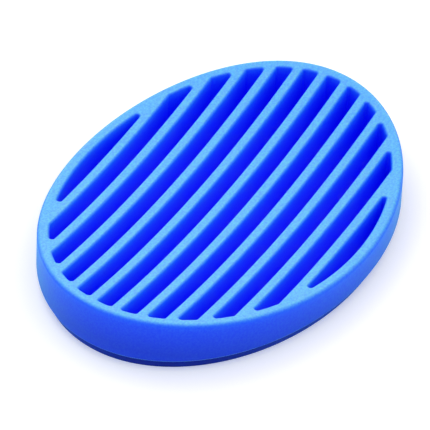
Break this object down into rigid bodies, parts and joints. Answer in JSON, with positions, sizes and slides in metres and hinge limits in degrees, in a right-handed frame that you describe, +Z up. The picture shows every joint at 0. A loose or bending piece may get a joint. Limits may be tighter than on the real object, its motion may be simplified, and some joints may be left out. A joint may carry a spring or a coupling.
{
  "type": "soap saver",
  "caption": "Low oval soap saver moulded in soft blue silicone: a round-edged wall holds a dished grille of long slats, open right through so that water drains off the soap.",
  "frame": {"origin": "under the middle of the oval, on the surface that it stands on", "axes": "+X along the length of the oval and of the slats, +Y across the slats, +Z up, out of the dished side"},
  "size_m": [0.115, 0.08, 0.0142],
  "materials": {
    "silicone": "matt, smooth, slightly translucent"
  },
  "bodies": {
    "root": {"rim": "silicone", "slat_01": "silicone", "slat_02": "silicone", "slat_03": "silicone", "slat_04": "silicone", "slat_05": "silicone", "slat_06": "silicone", "slat_07": "silicone", "slat_08": "silicone", "slat_09": "silicone", "slat_10": "silicone", "slat_11": "silicone"}
  },
  "joints": []
}
